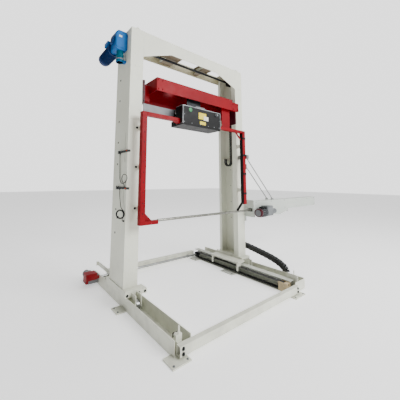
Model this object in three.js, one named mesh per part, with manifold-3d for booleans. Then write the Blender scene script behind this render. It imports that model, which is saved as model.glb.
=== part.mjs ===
// Travelling-portal pallet strapping machine with a horizontal lance.
// Millimetres, +Z up. X runs along the portal, Y along the floor rails, the floor is z = 0.
import * as THREE from "three";
import Module from "manifold-3d";
import { mergeVertices } from "three/addons/utils/BufferGeometryUtils.js";

// ---- driving dimensions ----
const GAP = 0.3;                 // clearance between touching pieces
const FLOOR_PLATE = 12;          // foot plate thickness

const PORTAL = { width: 2006, depth: 375, foot: 195, top: 3116, sheet: 8 };
const COLUMN = { width: 164, frontLip: 85, rearLip: 330 };
const BEAM = { low: 2950, rearLow: 2975, chamferLow: 2794, chamferRun: 417 };

const RAIL = { front: -875, back: 905, innerBack: 1252, height: 124, wall: 8 };
const LEFT_RAIL = [15, 181];
const RIGHT_RAIL = [1845, 2011];
const BELT = { x0: 1700, x1: 1750, chamber: 1688, pulley: 36, z: 70, end: -830, frontY: -740, backY: 800, t: 4 };

const WHEEL = { r: 55, width: 36, z: 64, frontY: -106, rearY: 481 };
const STRAP = { y0: -150, y1: -90, wall: 4, top: 2075 };
const LANCE = { y: -120, z: 875, r: 15, tip: 323, tail: 2420 };
const LANCE_BEAM = { x0: 2050, x1: 4040, y0: -165, y1: -35, z0: 845, z1: 1010, wall: 5 };
const LIFT = { y: 190, z: 2970, shaft: 16, drum: 45, leftX: 85, rightX: 1921 };
const FRAME = { x0: 326, x1: 1700, y0: -60, y1: 250, low: 2395, rear: 2240, top: 2560, sheet: 6 };
const HEAD = { x0: 615, x1: 1272, y0: -200, y1: 35, z0: 2006, z1: 2238 };

// Sensor cables on the left column's outer face, and the coil that takes up the spare length.
const CABLE = { r: 4, glandR: 8, x: -14, upperY: 168, middleY: 28, lowerY: 140, columnGland: [-9, 35, 876] };
const COIL = { centre: [-46, 37, 953], yaw: 40, start: 40, sweep: 780, outer: 52, inner: 33.5, rise: 8 };

const COLOURS = {
  cream: [0xe4e7da, 0.1, 0.45],
  red: [0xc8102e, 0.1, 0.4],
  blue: [0x0a7fc0, 0.2, 0.4],
  navy: [0x0b4a80, 0.2, 0.4],
  black: [0x1b1c1e, 0.1, 0.55],
  rubber: [0x17181a, 0.0, 0.8],
  steel: [0xb4b8ba, 0.9, 0.35],
  grey: [0xa4a8a9, 0.4, 0.45],
  dark: [0x3f4345, 0.7, 0.45],
  tan: [0xc9bda4, 0.0, 0.7],
};

// ---- solid helpers ----
const wasm = await Module();
wasm.setup();

function toManifold(geometry) {
  const bare = new THREE.BufferGeometry();
  bare.setAttribute("position", geometry.getAttribute("position").clone());
  const source = geometry.index ? geometry.index.clone() : null;
  if (source) {
    bare.setIndex(source);
  }
  const merged = mergeVertices(bare, 1e-3);
  const mesh = new wasm.Mesh({
    numProp: 3,
    vertProperties: new Float32Array(merged.getAttribute("position").array),
    triVerts: new Uint32Array(merged.index.array),
  });
  return new wasm.Manifold(mesh);
}

function fromManifold(solid) {
  const mesh = solid.getMesh();
  const geometry = new THREE.BufferGeometry();
  geometry.setAttribute("position", new THREE.BufferAttribute(new Float32Array(mesh.vertProperties), 3));
  geometry.setIndex(new THREE.BufferAttribute(new Uint32Array(mesh.triVerts), 1));
  return geometry;
}

function box(x0, x1, y0, y1, z0, z1) {
  const geometry = new THREE.BoxGeometry(x1 - x0, y1 - y0, z1 - z0);
  geometry.translate((x0 + x1) / 2, (y0 + y1) / 2, (z0 + z1) / 2);
  return toManifold(geometry);
}

// A straight round bar along one axis, from a to b, centred on the two other coordinates.
function rod(axis, a, b, centre, r, segments = 16) {
  const geometry = new THREE.CylinderGeometry(r, r, b - a, segments);
  const middle = (a + b) / 2;
  if (axis === "x") {
    geometry.rotateZ(-Math.PI / 2);
    geometry.translate(middle, centre[0], centre[1]);
  } else if (axis === "y") {
    geometry.translate(centre[0], middle, centre[1]);
  } else {
    geometry.rotateX(Math.PI / 2);
    geometry.translate(centre[0], centre[1], middle);
  }
  return toManifold(geometry);
}

// A round bar between two points in space.
function bar(p, q, r, segments = 12) {
  const a = new THREE.Vector3(...p);
  const b = new THREE.Vector3(...q);
  const geometry = new THREE.CylinderGeometry(r, r, a.distanceTo(b), segments);
  const turn = new THREE.Quaternion();
  turn.setFromUnitVectors(new THREE.Vector3(0, 1, 0), b.clone().sub(a).normalize());
  geometry.applyQuaternion(turn);
  const middle = a.add(b).multiplyScalar(0.5);
  geometry.translate(middle.x, middle.y, middle.z);
  return toManifold(geometry);
}

// A flat plate with any outline. The outline is drawn in the two axes named, and it is
// extruded from a to b along the third.
function plate(axes, outline, a, b) {
  const shape = new THREE.Shape(outline.map(([u, v]) => new THREE.Vector2(u, v)));
  const geometry = new THREE.ExtrudeGeometry(shape, { depth: b - a, bevelEnabled: false });
  geometry.translate(0, 0, a);
  const basis = new THREE.Matrix4();
  if (axes === "xz") {
    basis.set(1, 0, 0, 0, 0, 0, -1, 0, 0, 1, 0, 0, 0, 0, 0, 1);
    geometry.translate(0, 0, -a - b);
  } else if (axes === "yz") {
    basis.set(0, 0, 1, 0, 1, 0, 0, 0, 0, 1, 0, 0, 0, 0, 0, 1);
  }
  geometry.applyMatrix4(basis);
  return toManifold(geometry);
}

// A round cord along a smooth curve through the points.
function cord(points, r, steps) {
  const curve = new THREE.CatmullRomCurve3(points.map((p) => new THREE.Vector3(...p)));
  const ring = [];
  for (let i = 0; i < 8; i += 1) {
    const angle = (i / 8) * Math.PI * 2;
    ring.push(new THREE.Vector2(Math.cos(angle) * r, Math.sin(angle) * r));
  }
  const options = { steps, bevelEnabled: false, extrudePath: curve };
  return toManifold(new THREE.ExtrudeGeometry(new THREE.Shape(ring), options));
}

const join = (parts) => parts.reduce((whole, part) => whole.add(part));
const cut = (solid, tools) => tools.reduce((whole, tool) => whole.subtract(tool), solid);
const mirrored = (x) => PORTAL.width - x;

const group = new THREE.Group();
group.name = "travelling_portal_strapping_machine";

function put(name, solid, colour) {
  const [color, metalness, roughness] = COLOURS[colour];
  const material = new THREE.MeshStandardMaterial({ color, metalness, roughness });
  const mesh = new THREE.Mesh(fromManifold(solid), material);
  mesh.name = name;
  group.add(mesh);
}

// ---- floor frame ----
function channelUp([x0, x1]) {
  const w = RAIL.wall;
  const outer = box(x0, x1, RAIL.front, RAIL.back, 0, RAIL.height);
  return cut(outer, [box(x0 + w, x1 - w, RAIL.front - 1, RAIL.back + 1, w, RAIL.height + 1)]);
}

const footPlate = (x0, x1, y0, y1) => box(x0, x1, y0, y1, 0, FLOOR_PLATE);

const shaftHole = (x0, x1) => rod("x", x0, x1, [BELT.backY, BELT.z], 22, 16);

const leftRail = join([
  channelUp(LEFT_RAIL),
  footPlate(-58, 112, -966, -831),
  footPlate(-88, 20, -64, 78),
  footPlate(-60, 100, 850, 990),
  box(LEFT_RAIL[1] - RAIL.wall, LEFT_RAIL[1], RAIL.back - 20, RAIL.innerBack, 70, RAIL.height),
  box(LEFT_RAIL[1] - 30, LEFT_RAIL[1], RAIL.innerBack - 8, RAIL.innerBack, 70, RAIL.height),
  box(100, LEFT_RAIL[1], 850, 990, 0, FLOOR_PLATE),
]);
put("left_rail_beam", cut(leftRail, [shaftHole(0, 200)]), "cream");

const rightRail = join([
  channelUp(RIGHT_RAIL),
  box(1790 + GAP, 2011, RAIL.front - 8, RAIL.front, 10, 118),
  footPlate(1636, 1850, -966, -831),
  footPlate(1900, 2060, 850, 990),
  box(1860, 1868, RAIL.front, -735, 8, 180),
]);
put("right_rail_beam", rightRail, "cream");

const chamberX = [BELT.chamber, RIGHT_RAIL[0] - GAP];
const beltHousing = join([
  box(chamberX[1] - 6, chamberX[1], BELT.end, RAIL.back, 4, RAIL.height),
  box(chamberX[0], chamberX[1], BELT.end, RAIL.back, 4, 12),
  box(BELT.x1 + 12, chamberX[1], BELT.end, RAIL.back, RAIL.height - 8, RAIL.height),
  footPlate(1600, 1720, -72, 145),
  footPlate(1600, 1720, 700, 860),
]);
put("belt_channel", cut(beltHousing, [shaftHole(1800, 1900)]), "cream");

function crossTube(x0, x1, y0, y1, z0, z1, wall) {
  const outer = box(x0, x1, y0, y1, z0, z1);
  return cut(outer, [box(x0 - 1, x1 + 1, y0 + wall, y1 - wall, z0 + wall, z1 - wall)]);
}

const boltHead = (x, y, z) => rod("y", y - 7, y + 1, [x, z], 9, 6);
put("front_cross_tube", join([
  crossTube(36, 1790, -923, RAIL.front - GAP, 23, 98, 5),
  ...[[66, 42], [66, 78], [1760, 42], [1760, 78]].map(([x, z]) => boltHead(x, -923, z)),
]), "cream");
put("rear_cross_tube", crossTube(181 + GAP, BELT.chamber - GAP, 845, 900, 30, 120, 5), "cream");

function stopPost(x, y) {
  return join([
    box(x - 22, x + 22, y - 20, y + 20, FLOOR_PLATE + GAP, 92),
    box(x - 30, x + 30, y - 8, y + 24, 92, 140),
    box(x - 6, x + 6, y - 8, y, 140, 205),
    rod("y", y + 24, y + 44, [x, 116], 18, 12),
  ]);
}
put("front_stop_left", stopPost(78, -845), "cream");
put("front_stop_right", stopPost(1928, -790), "cream");

// ---- travel drive ----
function toothedRing(axisX0, axisX1, centre, r, teeth) {
  const outline = [];
  for (let i = 0; i < teeth * 2; i += 1) {
    const angle = (i / (teeth * 2)) * Math.PI * 2;
    const radius = i % 2 ? r : r - 2.5;
    outline.push([centre[0] + Math.cos(angle) * radius, centre[1] + Math.sin(angle) * radius]);
  }
  return plate("yz", outline, axisX0, axisX1);
}

put("travel_shaft", join([
  rod("x", -60, BELT.x1 + 40, [BELT.backY, BELT.z], 15, 20),
  rod("x", 320, 350, [BELT.backY, BELT.z], 24, 16),
  rod("x", 1500, 1530, [BELT.backY, BELT.z], 24, 16),
]), "steel");
put("travel_drive_pulley", cut(toothedRing(BELT.x0 - 4, BELT.x1 + 4, [BELT.backY, BELT.z], BELT.pulley, 20), [
  rod("x", BELT.x0 - 10, BELT.x1 + 10, [BELT.backY, BELT.z], 15 + GAP, 20),
]), "dark");

const idlerAxle = rod("x", BELT.x0 - 11, BELT.x1 + 20, [BELT.frontY, BELT.z], 10, 16);
put("travel_idler_pulley", cut(toothedRing(BELT.x0 - 4, BELT.x1 + 4, [BELT.frontY, BELT.z], BELT.pulley, 20), [
  rod("x", BELT.x0 - 10, BELT.x1 + 10, [BELT.frontY, BELT.z], 10 + GAP, 16),
]), "dark");
put("belt_tension_block", join([
  idlerAxle,
  box(BELT.x0 - 12, BELT.x0 - 5, BELT.end, -720, 12 + GAP, 112),
  box(BELT.x1 + 5, BELT.x1 + 20, BELT.end, -720, 12 + GAP, 112),
  box(BELT.x0 - 12, BELT.x1 + 20, BELT.end, -791, 12 + GAP, 112),
]), "tan");

function beltOutline(r) {
  const outline = [];
  for (let i = 0; i <= 20; i += 1) {
    const angle = -Math.PI / 2 - (i / 20) * Math.PI;
    outline.push([BELT.frontY + Math.cos(angle) * r, BELT.z + Math.sin(angle) * r]);
  }
  for (let i = 0; i <= 20; i += 1) {
    const angle = Math.PI / 2 - (i / 20) * Math.PI;
    outline.push([BELT.backY + Math.cos(angle) * r, BELT.z + Math.sin(angle) * r]);
  }
  return outline;
}
const beltInner = BELT.pulley + 2 * GAP;
put("travel_belt", cut(plate("yz", beltOutline(beltInner + BELT.t), BELT.x0, BELT.x1), [
  plate("yz", beltOutline(beltInner), BELT.x0 - 1, BELT.x1 + 1),
]), "rubber");

const motorY = [BELT.backY - 46, BELT.backY + 42];
put("travel_gearmotor", cut(join([
  box(-118, 15 - GAP, ...motorY, 26, 116),
  rod("y", motorY[1] - 1, 1000, [-62, 72], 42, 20),
  rod("y", 985, 1030, [-62, 72], 46, 20),
  box(-92, -32, 880, 950, 108, 130),
]), [rod("x", -70, 30, [BELT.backY, BELT.z], 15 + GAP, 20)]), "grey");
put("travel_motor_guard", join([
  cut(box(-150, -14, 730, 850, 40, 150), [
    box(-146, -10, 734, 860, 30, 146),
    box(-120, -10, 725, 740, 30, 74),
  ]),
  box(-20, 15 - GAP, 730, 742, 82, 118),
]), "red");

// ---- bogies and wheels ----
function bogie(flip) {
  const x = (v) => (flip ? mirrored(v) : v);
  const slab = (a, b, y0, y1, z0, z1) => box(Math.min(x(a), x(b)), Math.max(x(a), x(b)), y0, y1, z0, z1);
  const parts = [
    slab(-8, 176, -66, 441, 172, PORTAL.foot - GAP),
    slab(-8, 0, -66, 441, 128, 172),
    slab(-8, 176, -66, -54, 128, 172),
    slab(-8, 176, 429, 441, 128, 172),
    slab(62, 72, -160, 535, 60, 172),
    slab(124, 134, -160, 535, 60, 172),
    slab(62, 134, -54, 429, 150, 172),
  ];
  for (const y of [WHEEL.frontY, WHEEL.rearY]) {
    const a = Math.min(x(58), x(138));
    parts.push(rod("x", a, a + 80, [y, WHEEL.z], 10, 16));
  }
  for (const v of [18, 150]) {
    parts.push(boltHead(x(v), -66, 150));
    parts.push(rod("y", 440, 448, [x(v), 150], 9, 6));
  }
  return parts;
}

const leftBogie = join([
  ...bogie(false),
  box(168, 246, -66, 60, 128, 174),
  boltHead(222, -66, 150),
]);
put("left_bogie", leftBogie, "cream");

function beltClamp(y0) {
  return join([
    box(BELT.x0 - 8, BELT.x1 + 8, y0, y0 + 26, BELT.z + beltInner + BELT.t + GAP, 150),
    box(BELT.x0 - 14, BELT.x0 - 7, y0, y0 + 26, 50, 150),
  ]);
}
const rightBogie = join([
  ...bogie(true),
  box(1692, 1835, -112, 425, 150, 172),
  beltClamp(-110),
  beltClamp(380),
]);
put("right_bogie", rightBogie, "cream");

for (const [side, flip] of [["left", false], ["right", true]]) {
  for (const [end, y] of [["front", WHEEL.frontY], ["rear", WHEEL.rearY]]) {
    const middle = flip ? mirrored(98) : 98;
    const half = WHEEL.width / 2;
    const tread = rod("x", middle - half, middle + half, [y, WHEEL.z], WHEEL.r, 32);
    const bore = rod("x", middle - half - 5, middle + half + 5, [y, WHEEL.z], 10 + GAP, 16);
    put(`${side}_${end}_wheel`, cut(tread, [bore]), "steel");
  }
}

// ---- columns and crossbeam ----
const SLOTS = [[1672, 1846], [1515, 1595], [1066, 1217]];

function column(flip) {
  const s = PORTAL.sheet;
  const [w, d] = [COLUMN.width, PORTAL.depth];
  const x = (v) => (flip ? mirrored(v) : v);
  const slab = (a, b, y0, y1, z0, z1) => box(Math.min(x(a), x(b)), Math.max(x(a), x(b)), y0, y1, z0, z1);
  const z0 = PORTAL.foot;
  const z1 = PORTAL.top;
  const body = join([
    slab(0, s, 0, d, z0, z1),
    slab(0, w, 0, s, z0, z1),
    slab(0, w, d - s, d, z0, z1),
    slab(w - s, w, 0, COLUMN.frontLip, z0, z1),
    slab(w - s, w, COLUMN.rearLip, d, z0, z1),
    slab(0, w, 0, d, z0, z0 + 12),
    slab(0, w, 0, d, z1 - s, z1),
    plate("xz", [[70, z1 - 2], [112, z1 - 2], [112, z1 + 22], [100, z1 + 34], [82, z1 + 34], [70, z1 + 22]]
      .map(([u, v]) => [x(u), v]), 20, 28),
  ]);
  const bores = [rod("x", Math.min(x(-2), x(s + 2)), Math.max(x(-2), x(s + 2)), [LIFT.y, LIFT.z], 24, 16)];
  for (const z of [2532, 2270, 2011, 1757, 1500, 1240, 980, 720]) {
    bores.push(rod("x", Math.min(x(-2), x(s + 2)), Math.max(x(-2), x(s + 2)), [262, z], 8, 8));
  }
  for (const [lo, hi] of SLOTS) {
    bores.push(slab(-2, s + 2, 60, 72, lo, hi));
  }
  bores.push(rod("y", 18, 30, [x(91), z1 + 14], 9, 10));
  return cut(body, bores);
}

function guideBracket(x, toX, z) {
  return join([
    box(Math.min(x, toX) - 12, Math.max(x, toX) + 12, -6, 1, z - 32, z + 32),
    box(toX - 4, toX + 4, -90 + GAP, -5, z - 26, z + 26),
    rod("y", -13, -5, [x, z], 9, 6),
  ]);
}
const LEFT_BRACKETS = [1910, 1461, 1008];
put("left_column", join([
  column(false),
  ...LEFT_BRACKETS.map((z) => guideBracket(104, 138, z)),
  rod("x", CABLE.columnGland[0], 1, CABLE.columnGland.slice(1), CABLE.glandR, 12),
]), "cream");

const chainBracket = join([
  box(1868, 1999, 285 + GAP, 297, 1640, 1676),
  rod("y", 296, 304, [1940, 1658], 9, 6),
]);
const travelChainBracket = join([
  box(2005, 2014, 300, 360, 290, 420),
  box(2005, 2150, 331, 345, 290, 380),
]);
put("right_column", join([
  column(true),
  ...[1850, 1180].map((z) => guideBracket(1895, 1862, z)),
  chainBracket,
  travelChainBracket,
]), "cream");

function beamOutline() {
  const [a, b] = [COLUMN.width + GAP, mirrored(COLUMN.width + GAP)];
  const run = BEAM.chamferRun;
  return [
    [a, BEAM.chamferLow], [a, PORTAL.top], [b, PORTAL.top], [b, BEAM.chamferLow],
    [b - run, BEAM.low], [a + run, BEAM.low],
  ];
}
const spanX = [COLUMN.width + GAP, mirrored(COLUMN.width + GAP)];
const windows = [[250, 560], [950, 1270], [1345, 1480], [1560, 1800]];
const topPlate = cut(box(spanX[0], spanX[1], 0, PORTAL.depth, PORTAL.top - 8, PORTAL.top), [
  ...windows.map(([x0, x1]) => box(x0, x1, 60, 362, PORTAL.top - 20, PORTAL.top + 20)),
]);
put("crossbeam", join([
  plate("xz", beamOutline(), 0, 8),
  box(spanX[0], spanX[1], PORTAL.depth - 8, PORTAL.depth, BEAM.rearLow, PORTAL.top),
  topPlate,
  box(620, 800, 4, PORTAL.depth - 4, 3002, 3010),
  box(620, 626, 4, PORTAL.depth - 4, 3006, PORTAL.top - 4),
  box(794, 800, 4, PORTAL.depth - 4, 3006, PORTAL.top - 40),
  box(1290, 1340, 4, PORTAL.depth - 4, 3002, 3010),
  box(1312, 1318, 4, PORTAL.depth - 4, 3006, PORTAL.top - 4),
]), "cream");

// ---- lift drive ----
const hub = [LIFT.y, LIFT.z];
put("lift_gearbox", cut(join([
  plate("xz", [[-145, 2860], [-125, 2838], [-25, 2838], [-GAP, 2860], [-GAP, 3050], [-28, 3078],
    [-117, 3078], [-145, 3050]], 100, 260),
  rod("x", -163, -140, hub, 52, 24),
  rod("z", 2742, 2845, [-72, 150], 38, 20),
  rod("z", 2700, 2744, [-72, 150], 44, 20),
  box(-60, -GAP, 120, 170, 2704, 2730),
]), [rod("x", -150, 5, hub, LIFT.shaft + GAP, 20)]), "blue");
put("lift_motor", join([
  rod("y", 260 + GAP, 275, [-95, 2905], 84, 24),
  rod("y", 270, 560, [-95, 2905], 74, 24),
  rod("y", 550, 610, [-95, 2905], 80, 24),
  box(-135, -55, 300, 400, 2965, 3010),
]), "navy");
const drum = (x) => [
  rod("x", x - 22, x + 22, hub, LIFT.drum, 28),
  rod("x", x - 26, x - 20, hub, LIFT.drum + 12, 28),
  rod("x", x + 20, x + 26, hub, LIFT.drum + 12, 28),
];
put("lift_shaft", join([
  rod("x", -140, 1970, hub, LIFT.shaft, 20),
  ...drum(LIFT.leftX),
  ...drum(LIFT.rightX),
]), "dark");
for (const [side, x] of [["left", LIFT.leftX], ["right", LIFT.rightX]]) {
  const beltY = LIFT.y - LIFT.drum - GAP;
  put(`lift_belt_${side}`, box(x - 16, x + 16, beltY - 4, beltY, 2500 + GAP, 2960), "rubber");
}

// ---- fixed strap guides and lance ----
function strapChannel(x0, x1, z0, z1, openTo) {
  const w = STRAP.wall;
  const hollow = openTo > 0
    ? box(x0 + w, x1 + 1, STRAP.y0 + w, STRAP.y1 - w, z0 - 1, z1 - w)
    : box(x0 - 1, x1 - w, STRAP.y0 + w, STRAP.y1 - w, z0 - 1, z1 - w);
  return cut(box(x0, x1, STRAP.y0, STRAP.y1, z0, z1), [hollow]);
}

put("strap_guide_left", join([
  strapChannel(94, 155, 858, STRAP.top, 1),
  box(94, 322, STRAP.y0, STRAP.y1, 840, 880),
  plate("xz", [[150, 878], [252, 878], [150, 978]], -126, -114),
]), "red");
put("strap_guide_right", join([
  strapChannel(1814, 1875, 982, STRAP.top, -1),
  box(1814, 1875, STRAP.y0, STRAP.y1, 974, 986),
]), "red");
put("strap_liner_right", join([
  box(1809, 1814 - GAP, -146, -94, 990, 2020),
  plate("xz", [[1809, 990], [1809, 1006], [1690, 898], [1690, 890], [1696, 890]], -140, -100),
]), "black");

const lb = LANCE_BEAM;
const beamShell = cut(box(lb.x0, lb.x1, lb.y0, lb.y1, lb.z0, lb.z1), [
  box(lb.x0 - 1, lb.x1 - 6, lb.y0 + lb.wall, lb.y1 - lb.wall, lb.z0 + lb.wall, lb.z1 - lb.wall),
  rod("y", lb.y0 - 2, lb.y0 + 10, [2300, LANCE.z + LANCE.r + 30.5], 14, 16),
]);
put("lance_beam", join([
  beamShell,
  plate("xz", [[2560, lb.z0 + 1], [2560, 770], [2700, 756], [2760, 756], [3040, 812],
    [3040, lb.z0 + 1]], -150, -60),
]), "grey");
put("lance_bracket", cut(join([
  box(2014 + GAP, lb.x0 - GAP, lb.y0, lb.y1 + 20, 770, 1022),
  box(2006 + GAP, 2030, -16, 200, 700, 1022),
]), [
  box(2000, 2060, lb.y0 + 20, lb.y1 - 20, 850, 900),
]), "grey");
put("lance_rod", rod("x", LANCE.tip, LANCE.tail, [LANCE.y, LANCE.z], LANCE.r, 20), "steel");
const rollerZ = LANCE.z + LANCE.r + GAP + 30;
put("lance_drive_roller", join([
  rod("y", -138, -102, [2300, rollerZ], 30, 28),
  rod("y", lb.y0 - 20, -130, [2300, rollerZ], 10, 16),
]), "dark");
put("lance_gearbox", cut(join([
  box(2205, 2365, lb.y0 - 105, lb.y0 - GAP, 785, 935),
  rod("x", 2365, 2395, [-225, 845], 52, 20),
  rod("x", 2395, 2480, [-225, 845], 40, 20),
]), [rod("y", lb.y0 - 30, lb.y0 + 5, [2300, rollerZ], 10 + GAP, 16)]), "grey");

const motorAxis = [-240, 840];
const motorFins = [];
for (let i = 0; i < 16; i += 1) {
  const angle = (i / 16) * Math.PI * 2;
  const [ny, nz] = [Math.cos(angle), Math.sin(angle)];
  const p = (r, s) => [motorAxis[0] + ny * r - nz * s, motorAxis[1] + nz * r + ny * s];
  motorFins.push(plate("yz", [p(50, -2.5), p(68, -2), p(68, 2), p(50, 2.5)], 2068, 2190));
}
put("lance_motor", join([
  rod("x", 2060, 2205 - GAP, motorAxis, 58, 32),
  ...motorFins,
  box(2100, 2175, -275, -205, 895, 925),
]), "grey");
put("lance_motor_fan_cover", cut(join([
  rod("x", 2018, 2060 - GAP, motorAxis, 62, 28),
]), [rod("x", 2010, 2021, motorAxis, 40, 24)]), "red");

put("lance_stay_front", join([
  box(1880, 1930, -166, -GAP, 1650, 1710),
  bar([1912, -150, 1646], [2548, -150, 1028], 8),
  box(2520, 2570, -162, -138, 1010 + GAP, 1034),
]), "steel");
put("lance_stay_rear", join([
  box(2006 + GAP, 2016, -62, 60, 1500, 1580),
  bar([2014, -48, 1536], [2548, -48, 1026], 8),
  box(2520, 2570, -60, -37, 1010 + GAP, 1034),
]), "steel");

// ---- carriage ----
const f = FRAME;
const innerFrame = box(f.x0 + 8, f.x1 - 8, f.y0 + f.sheet, f.y1 - 8, f.low - 200, f.top - f.sheet);
const frameShell = cut(box(f.x0, f.x1, f.y0, f.y1, f.rear, f.top), [
  innerFrame,
  box(f.x0 - 1, f.x1 + 1, f.y0 - 1, 190, f.rear - 1, f.low),
  box(700, 830, 60, 230, f.top - 20, f.top + 5),
  box(1180, 1310, 60, 230, f.top - 20, f.top + 5),
]);
put("carriage_frame", join([
  frameShell,
  box(190 + GAP, f.x0 + 4, 122, 245, 2300, 2500),
  box(40, 192, 130, 245, 2440, 2500),
  box(f.x1 - 4, mirrored(190 + GAP), 122, 245, 2300, 2500),
  box(mirrored(192), mirrored(40), 130, 245, 2440, 2500),
  box(f.x1 - 6, 1850, f.y0 + 4, -14, f.low + 8, 2530),
  box(1520, f.x1 - 2, 0, 8, 2100, f.top - 2),
  plate("xz", [[565, f.top - 2], [640, f.top - 2], [632, 2600], [590, 2600]], 40, 52),
  plate("xz", [[680, f.top - 2], [740, f.top - 2], [735, 2605], [690, 2605]], 40, 52),
]), "red");

function guideShoe(flip) {
  const x = (v) => (flip ? mirrored(v) : v);
  const slab = (a, b, y0, y1, z0, z1) => box(Math.min(x(a), x(b)), Math.max(x(a), x(b)), y0, y1, z0, z1);
  return join([
    slab(164.5, 190, -10, 122 - GAP, 2210, 2500),
    slab(140, 170, 85.5, 122 - GAP, 2210, 2500),
    slab(140, 155.5, 12, 90, 2210, 2500),
  ]);
}
put("guide_shoe_left", guideShoe(false), "black");
put("guide_shoe_right", cut(guideShoe(true), [box(1700, 1852, -80, -9, 2380, 2560)]), "black");
put("head_mount_bar", box(174, 610, -14, -1, 2120, 2210 - GAP), "grey");

// ---- strapping head ----
const h = HEAD;
put("head_base_tray", cut(join([
  box(h.x0 - 8, h.x1, h.y0, h.y1, 1992, h.z0 - GAP),
  box(h.x0 - 8, h.x1, -55 + GAP, h.y1, 2000, 2060),
]), [box(h.x0 + 2, h.x1 - 10, -48, h.y1 - 8, 2012, 2070)]), "black");
put("head_cover", cut(box(h.x0, h.x1, h.y0, -55, h.z0, h.z1), [
  box(h.x0 + 4, h.x1 - 4, h.y0 + 4, -50, h.z0 - 1, h.z1 - 4),
]), "black");
const wheelX = 668;
const feedZ = [2112, 2182];
put("head_body", join([
  box(720, 1255, -188, 26, 2060 + GAP, 2226),
  box(625, 722, 8, 24, 2076, 2226),
  rod("y", -34, 10, [wheelX, feedZ[0]], 8, 16),
  rod("y", -34, 10, [wheelX, feedZ[1]], 8, 16),
  box(860, 960, 24, 90, 2090, 2190),
  rod("y", 85, 200, [910, 2140], 42, 20),
]), "dark");
put("feed_wheel", cut(rod("y", -32, -8, [wheelX, feedZ[0]], 34.7, 28), [
  rod("y", -40, 0, [wheelX, feedZ[0]], 8 + GAP, 16),
]), "steel");
put("pinch_wheel", cut(rod("y", -32, -8, [wheelX, feedZ[1]], 34.7, 28), [
  rod("y", -40, 0, [wheelX, feedZ[1]], 8 + GAP, 16),
]), "steel");
put("head_hanger", join([
  box(850, 1095, -50, 24, 2226 + GAP, 2300),
  box(850, 1095, 10, 22, 2290, f.top - f.sheet - GAP),
]), "grey");
put("strap_guide_top_left", join([
  box(155 + GAP, 604, STRAP.y0, STRAP.y1, 2032, STRAP.top),
  plate("xz", [[540, 2032], [h.x0 - GAP, 2010], [h.x0 - GAP, STRAP.top], [540, STRAP.top]],
    STRAP.y0, STRAP.y1),
]), "red");
put("strap_guide_top_right", join([
  box(h.x1 + GAP, 1808, STRAP.y0, STRAP.y1, 2040, STRAP.top),
  plate("xz", [[1680, 2042], [1700, 2042], [1800, 1946], [1795, 1936]], -130, -110),
]), "red");

// ---- cable chains, sensors and cables ----
function chainRun(points, width, thickness) {
  const left = [];
  const right = [];
  for (let i = 0; i < points.length; i += 1) {
    const before = points[Math.max(0, i - 1)];
    const after = points[Math.min(points.length - 1, i + 1)];
    const direction = new THREE.Vector2(after[0] - before[0], after[1] - before[1]).normalize();
    const side = new THREE.Vector2(-direction.y, direction.x).multiplyScalar(thickness / 2);
    left.push([points[i][0] + side.x, points[i][1] + side.y]);
    right.push([points[i][0] - side.x, points[i][1] - side.y]);
  }
  return plate("yz", [...left, ...right.reverse()], width[0], width[1]);
}

const portalChain = [[328, 324], [200, 320], [60, 306], [-80, 283], [-220, 257], [-360, 227],
  [-470, 193], [-545, 155], [-582, 118], [-588, 84], [-560, 54], [-505, 40], [-440, 36.3],
  [-300, 36.3], [0, 36.3], [300, 36.3], [560, 36.3]];
put("travel_cable_chain", chainRun(portalChain, [2075, 2150], 68), "rubber");

const loop = { nearY: 155, farY: 272.2, z: 1620 };
const liftChain = [[loop.nearY, 2440 - GAP], [loop.nearY, loop.z]];
for (let i = 1; i < 10; i += 1) {
  const angle = (i / 10) * Math.PI;
  const half = (loop.farY - loop.nearY) / 2;
  liftChain.push([loop.nearY + half - Math.cos(angle) * half, loop.z - Math.sin(angle) * half]);
}
liftChain.push([loop.farY, loop.z], [loop.farY, 1690]);
put("lift_cable_chain", chainRun(liftChain, [1870, 1920], 25), "rubber");

const UPPER_ARM = 1632;
const LOWER_ARM = 1226;
const gland = (y, z0, z1) => rod("z", z0, z1, [CABLE.x, y], CABLE.glandR, 12);

function sensorArm(z, back, glands) {
  return join([
    box(-22, -GAP, -40, back, z - 10, z + 10),
    rod("x", -34, 6, [-48, z], 12, 16),
    box(-24, -10, -46, -36, z - 9, z + 9),
    box(-26, -GAP, back - 40, back - 8, z - 16, z + 16),
    ...glands,
  ]);
}
put("sensor_arm_upper", sensorArm(UPPER_ARM, 215, [gland(CABLE.upperY, UPPER_ARM - 24, UPPER_ARM - 9)]), "dark");
put("sensor_arm_lower", sensorArm(LOWER_ARM, 235, [
  gland(CABLE.middleY, LOWER_ARM + 9, LOWER_ARM + 18),
  gland(CABLE.lowerY, LOWER_ARM - 18, LOWER_ARM - 9),
]), "dark");

put("sensor_cable_upper", cord([
  [-14, 168, UPPER_ARM - 24 - GAP], [-14, 168, 1592], [-14, 168, 1570], [-13, 167, 1530],
  [-12, 165, 1480], [-11, 163, 1430], [-10.5, 161, 1380], [-10.5, 158, 1345], [-10.5, 150, 1312],
  [-11, 128, 1288], [-11.5, 90, 1278], [-12, 45, 1282], [-14, 5, 1292], [-18, -30, 1310],
  [-20, -50, 1336], [-23, -45, 1360], [-25, -15, 1374], [-26, 22, 1374], [-26, 52, 1362],
  [-26, 68, 1340], [-25, 62, 1312], [-23, 43, 1288], [-18, 31, 1268], [-14.5, 28, 1256],
  [-14, 28, LOWER_ARM + 18 + GAP],
], CABLE.r, 48), "rubber");

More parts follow.
